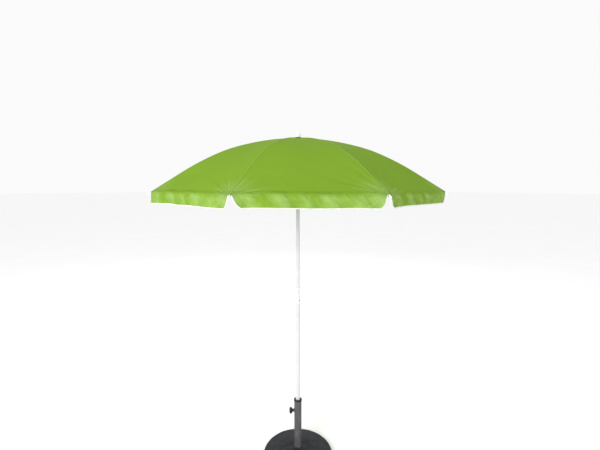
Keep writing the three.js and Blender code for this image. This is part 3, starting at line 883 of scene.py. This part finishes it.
class PARASOL_OT_crown(bpy.types.Operator):
    """Make the crown, its wire, the finial, the runner and the runner's catch"""

    bl_idname = "parasol.crown"
    bl_label = "Crown and runner"

    def execute(self, context):
        softened_copy("crown", 0.0004)
        softened_copy("runner", 0.0005)
        self.finial()
        ring = bmesh.new()
        self.wire(ring, middle("crown_wire").z)
        piece("crown_wire_made", ring, "steel", "upper_pole", ["crown_wire"])
        held = bmesh.new()
        self.wire(held, 2 * JOINTS["strut_1_turn"]["pos_m"][2] - middle("crown_wire").z, 0.0008)
        piece("runner_wire", held, "steel", "runner")
        softened_copy("runner_catch", 0.0008)
        return {"FINISHED"}

    def wire(self, bm, height, radius=0.001):
        """A ring of wire on the rib hinges' circle."""
        circle = math.hypot(*JOINTS["canopy_fold"]["pos_m"][:2])
        bmesh.ops.create_circle(bm, segments=14, radius=radius, cap_ends=False)
        bmesh.ops.rotate(bm, verts=bm.verts, cent=(0, 0, 0), matrix=Matrix.Rotation(math.pi / 2, 3, "X"))
        bmesh.ops.translate(bm, verts=bm.verts, vec=(circle, 0, height))
        bmesh.ops.spin(
            bm, geom=bm.verts[:] + bm.edges[:], cent=(0, 0, 0), axis=(0, 0, 1), angle=2 * math.pi, steps=72,
            use_merge=True, use_duplicate=False)
        bmesh.ops.remove_doubles(bm, verts=bm.verts, dist=WELD)

    def finial(self):
        """A moulded knob with a skirt, a waist line and a domed top."""
        low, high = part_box("finial")
        r, base, top = high.x, low.z, high.z
        tall = top - base
        profile = [
            (0.0083, base), (r * 0.9, base), (r * 0.985, base + 0.0008), (r, base + 0.002), (r, base + 0.0075),
            (r * 0.97, base + 0.0083), (r * 0.97, base + 0.0092), (r * 0.985, base + 0.0098)]
        for k in range(1, 13):
            angle = k / 12 * math.pi / 2
            profile.append((r * 0.975 * math.cos(angle) ** 0.82, base + 0.01 + (tall - 0.01) * math.sin(angle)))
        profile[-1] = (0, top)
        profile += [(0, base + 0.009), (0.0083, base + 0.009)]
        bm = spun(profile, 64)
        piece("finial_knob", bm, "white", "upper_pole", ["finial"])


class PARASOL_OT_poles(bpy.types.Operator):
    """Make the poles, the collar between them and the height button"""

    bl_idname = "parasol.poles"
    bl_label = "Poles"

    def execute(self, context):
        for node, button, hole in (
            ("lower_pole", "height_button", 0.0038),
            ("upper_pole", "runner_catch", 0.0034),
        ):
            low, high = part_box(node)
            made = tube(high.x - 0.001, high.x, low.z, high.z, 72)
            made = drilled(made, hole, (0, 0, middle(button).z), button_way(button), 0.03)
            piece(f"{node}_tube", made, "enamel", NODE_BODY[node], [node])
        softened_copy("inner_tube", 0.0002)
        softened_copy("pole_foot_plug", 0.0006)
        self.collar()
        softened_copy("height_button", 0.0006)
        return {"FINISHED"}

    def collar(self):
        """The flared sleeve over the lower pole's mouth, with a beaded lower edge."""
        low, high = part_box("pole_collar")
        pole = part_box("lower_pole")[1]
        bore, flare = pole.x + 0.0003, high.x
        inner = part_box("inner_tube")[1].x + 0.0004
        z0, z1 = low.z, high.z
        profile = [
            (bore, z0), (0.01385, z0), (0.0143, z0 + 0.0008), (0.0143, z0 + 0.0026), (0.0138, z0 + 0.0034),
            (0.0138, z0 + 0.018), (0.0142, z0 + 0.022), (0.0152, z0 + 0.030), (flare, z0 + 0.0345),
            (flare, z1 - 0.0012), (flare - 0.0009, z1), (inner, z1), (inner, pole.z + 0.0003),
            (bore, pole.z + 0.0003)]
        out, height = button_way("height_button"), middle("height_button").z
        sleeve = drilled(spun(profile, 64), 0.0038, (0, 0, height), out, 0.03)
        piece("pole_collar_sleeve", sleeve, "white", "lower_pole", ["pole_collar"])
        boss = spun([(0.0039, 0), (0.0054, 0), (0.0054, 0.0012), (0.0048, 0.0019), (0.0039, 0.0019)], 32)
        at = Vector((0, 0, height)) + out * 0.0135
        piece("height_button_ring", place_bm(boss, toward(out, at)), "white", "lower_pole")


class PARASOL_OT_tilt_joint(bpy.types.Operator):
    """Make the tilt joint: fork, tongue, rivet and push button"""

    bl_idname = "parasol.tilt_joint"
    bl_label = "Tilt joint"

    def execute(self, context):
        softened_copy("tilt_fork", 0.0006)
        softened_copy("tilt_tongue", 0.0005)
        softened_copy("tilt_button", 0.0007)
        low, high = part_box("tilt_rivet")
        centre = middle("tilt_rivet")
        ends, head_rise = (low.y + 0.001, high.y - 0.001), 0.0014
        made = spun([(0, ends[0]), (0.0029, ends[0]), (0.0029, ends[1]), (0, ends[1])], 32)
        across = Matrix.Rotation(-math.pi / 2, 4, "X")
        place_bm(made, Matrix.Translation((centre.x, 0, centre.z)) @ across)
        for side in (-1, 1):
            foot = (centre.x, side * (high.y - head_rise), centre.z)
            join_bm(made, place_bm(rivet_head(0.0046, head_rise), toward((0, side, 0), foot)))
        piece("tilt_rivet_made", made, "steel", "inner_tube", ["tilt_rivet"])
        return {"FINISHED"}


class PARASOL_OT_base(bpy.types.Operator):
    """Make the weighted base, its tube, collar and clamp"""

    bl_idname = "parasol.base"
    bl_label = "Base"

    def execute(self, context):
        self.weight()
        for node in ("base_foot_ring", "base_washer", "base_bolt", "tube_plug", "tube_bush"):
            softened_copy(node, 0.0006)
        self.base_tube()
        self.tube_collar()
        softened_copy("clamp_boss", 0.0008)
        softened_copy("clamp_pad", 0.0004)
        self.clamp_screw()
        self.clamp_knob()
        return {"FINISHED"}

    def weight(self):
        """The cast disc: a rounded rim, a shallow dome and a raised ring round the tube."""
        low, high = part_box("base_disc")
        foot_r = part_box("base_foot_ring")[1].x + 0.0004
        radius, top = high.x - 0.0006, high.z
        tube_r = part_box("base_tube")[1].x + 0.0003
        profile = [
            (0.006, 0.015), (0.026, 0.015), (0.026, low.z), (0.1637, low.z), (0.1637, 0.006), (foot_r, 0.006),
            (foot_r, low.z), (radius - 0.012, low.z)]
        nose, side = 0.0068, 0.0085
        for k in range(11):
            angle = -math.pi / 2 + k / 10 * (math.pi * 0.86)
            rise = side if angle > 0 else 0
            out, up = nose * math.cos(angle), nose * math.sin(angle)
            profile.append((radius - nose + out, low.z + nose + rise + up))
        start_r, start_z = profile[-1]
        crest = 0.034
        for k in range(1, 22):
            share = k / 21
            r = start_r + (crest - start_r) * share
            rise = math.sin(share * math.pi / 2) ** 1.15
            profile.append((r, start_z + (top - 0.004 - start_z) * rise))
        profile += [
            (0.031, top - 0.0032), (0.029, top - 0.0006), (0.0268, top), (tube_r, top), (tube_r, 0.022),
            (0.006, 0.022)]
        bm = spun(profile, 128)
        for vert in bm.verts:
            r = math.hypot(vert.co.x, vert.co.y)
            if vert.co.z > 0.02 and r > 0.035:
                vert.co.z += noise.noise(vert.co * 24) * 0.0011 + noise.noise(vert.co * 60) * 0.0004
        piece("weight_disc", bm, "concrete", "base", ["base_disc"])

    def base_tube(self):
        """The steel tube with its hole for the clamp, and the ribbed rubber seal round its foot."""
        low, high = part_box("base_tube")
        made = tube(high.x - 0.002, high.x, low.z, high.z, 72, 0.0004)
        made = drilled(made, 0.0046, (0, 0, middle("clamp_screw").z), (-1, 0, 0), 0.04)
        piece("base_tube_made", made, "coat", "base", ["base_tube"])
        bead = spun([(high.x + 0.0002, 0.0603), (high.x + 0.0046, 0.0603), (high.x + 0.0036, 0.0618),
                     (high.x + 0.0013, 0.0631), (high.x + 0.0002, 0.0637)], 72)
        for vert in bead.verts:
            angle = math.atan2(vert.co.y, vert.co.x)
            vert.co.z += 0.0002 * math.sin(angle * 36)
        piece("tube_foot_seal", bead, "rubber", "base")

    def tube_collar(self):
        """The moulded collar pushed into the tube's mouth."""
        low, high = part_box("tube_collar")
        tube_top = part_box("base_tube")[1].z + 0.0003
        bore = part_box("lower_pole")[1].x + 0.0004
        plug = 0.0197
        r, z1 = high.x, high.z
        profile = [
            (bore, low.z), (plug - 0.0005, low.z), (plug, low.z + 0.001), (plug, tube_top), (r, tube_top),
            (r, z1 - 0.003), (r - 0.0006, z1 - 0.0012), (r - 0.0022, z1 - 0.0002), (r - 0.0032, z1),
            (0.0165, z1), (0.0155, z1 - 0.0005), (bore + 0.0004, z1 - 0.0009), (bore, z1 - 0.0014)]
        piece("tube_collar_ring", spun(profile, 72), "black", "base", ["tube_collar"])

    def clamp_screw(self):
        """The clamp's screw with its thread cut as close rings."""
        low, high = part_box("clamp_screw")
        z = middle("clamp_screw").z
        profile = [(0, 0)]
        length, pitch, crest = high.x - low.x, 0.0015, 0.004
        turns = int(length / pitch) - 1
        for k in range(turns):
            profile += [(crest - 0.0008, k * pitch + 0.0002), (crest, k * pitch + pitch * 0.6)]
        profile += [(crest - 0.0008, length - 0.0003), (0, length)]
        bm = place_bm(spun(profile, 32), toward((1, 0, 0), (low.x, 0, z)))
        piece("clamp_screw_made", bm, "steel", "clamp_knob", ["clamp_screw"])

    def clamp_knob(self):
        """A five-lobed hand knob that swells from its neck to a domed face."""
        low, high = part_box("clamp_knob")
        z = middle("clamp_screw").z
        tall = high.x - low.x
        hollow = [(0, 0.0062), (0.0044, 0.0062), (0.0044, 0)]
        back = [
            (0.0078, 0), (0.0086, 0.0008), (0.009, 0.0028), (0.0112, 0.0046), (0.015, 0.0062), (0.0168, 0.0084)]
        face = [
            (0.0174, 0.0112), (0.0174, tall - 0.0078), (0.0165, tall - 0.0047), (0.0142, tall - 0.002),
            (0.0098, tall - 0.0004), (0, tall)]
        bm = spun(hollow + back + face, 120)
        for vert in bm.verts:
            r = math.hypot(vert.co.x, vert.co.y)
            if r > 0.0095:
                angle = math.atan2(vert.co.y, vert.co.x)
                grow = 1 + 0.085 * (r - 0.0095) / 0.0093 * (math.cos(5 * angle) - 0.15)
                vert.co.x *= grow
                vert.co.y *= grow
        place_bm(bm, toward((-1, 0, 0), (high.x, 0, z)))
        piece("clamp_hand_knob", bm, "black", "clamp_knob", ["clamp_knob"])


CAMERA_AWAY = 2.19
CAMERA_HEIGHT = 1.65
CAMERA_TURN = math.radians(3.72)
CAMERA_LENS = 21.65


class PARASOL_OT_studio(bpy.types.Operator):
    """Make the floor, the lights and the camera"""

    bl_idname = "parasol.studio"
    bl_label = "Studio"

    def execute(self, context):
        self.floor()
        self.camera(context)
        self.lights(context)
        return {"FINISHED"}

    def floor(self):
        """A wide round floor."""
        bm = bmesh.new()
        bmesh.ops.create_circle(bm, cap_ends=True, segments=96, radius=70)
        mesh = bpy.data.meshes.new("studio_floor")
        bm.to_mesh(mesh)
        bm.free()
        made = bpy.data.objects.new("studio_floor", mesh)
        bpy.context.scene.collection.objects.link(made)
        mesh.materials.append(finish("floor"))

    def camera(self, context):
        eye = bpy.data.objects.new("camera", bpy.data.cameras.new("camera"))
        context.scene.collection.objects.link(eye)
        eye.location = Matrix.Rotation(-CAMERA_TURN, 4, "Z") @ Vector((0, -CAMERA_AWAY, CAMERA_HEIGHT))
        eye.rotation_euler = (math.pi / 2, 0, -CAMERA_TURN)
        eye.data.sensor_width = 36
        eye.data.lens = CAMERA_LENS
        eye.data.shift_x = 0.0035
        eye.data.shift_y = -0.0692
        eye.data.clip_start = 0.05
        context.scene.camera = eye

    def lights(self, context):
        world = bpy.data.worlds.new("studio")
        world.use_nodes = True
        world.node_tree.nodes["Background"].inputs["Color"].default_value = (1, 1, 1, 1)
        world.node_tree.nodes["Background"].inputs["Strength"].default_value = 0.96
        context.scene.world = world
        context.scene.view_settings.view_transform = "Standard"
        for name, place, size, power in (
            ("key", (-3.0, -4.6, 3.0), 2.2, 220),
            ("fill", (3.6, -3.6, 2.2), 3.0, 20),
            ("back", (0.5, 4.5, 4.0), 3.0, 40),
        ):
            lamp = bpy.data.lights.new(name, "AREA")
            lamp.size = size
            lamp.energy = power
            held = bpy.data.objects.new(name, lamp)
            context.scene.collection.objects.link(held)
            held.location = place
            held.rotation_euler = (Vector((0, 0, 1.4)) - Vector(place)).to_track_quat("-Z", "Y").to_euler()


OPERATORS = (
    PARASOL_OT_base, PARASOL_OT_poles, PARASOL_OT_tilt_joint, PARASOL_OT_crown, PARASOL_OT_ribs,
    PARASOL_OT_canopy, PARASOL_OT_studio,
)


class PARASOL_PT_panel(bpy.types.Panel):
    """The parasol's settings and makers"""

    bl_idname = "PARASOL_PT_panel"
    bl_label = "Garden Parasol"
    bl_space_type = "VIEW_3D"
    bl_region_type = "UI"
    bl_category = "Parasol"

    def draw(self, context):
        for group in (context.scene.parasol_sizes, context.scene.parasol_colours):
            for name in group.bl_rna.properties.keys():
                if name not in {"rna_type", "name"}:
                    self.layout.prop(group, name)
        for operator in OPERATORS:
            self.layout.operator(operator.bl_idname)


CLASSES = (ParasolSizes, ParasolColours, *OPERATORS, PARASOL_PT_panel)


def register():
    for made in CLASSES:
        bpy.utils.register_class(made)
    bpy.types.Scene.parasol_sizes = bpy.props.PointerProperty(type=ParasolSizes)
    bpy.types.Scene.parasol_colours = bpy.props.PointerProperty(type=ParasolColours)


def unregister():
    del bpy.types.Scene.parasol_colours
    del bpy.types.Scene.parasol_sizes
    for made in reversed(CLASSES):
        bpy.utils.unregister_class(made)


def main():
    register()
    bpy.ops.parasol.base()
    bpy.ops.parasol.poles()
    bpy.ops.parasol.tilt_joint()
    bpy.ops.parasol.crown()
    bpy.ops.parasol.ribs()
    bpy.ops.parasol.canopy()
    bpy.ops.parasol.studio()


if __name__ == "__main__":
    main()
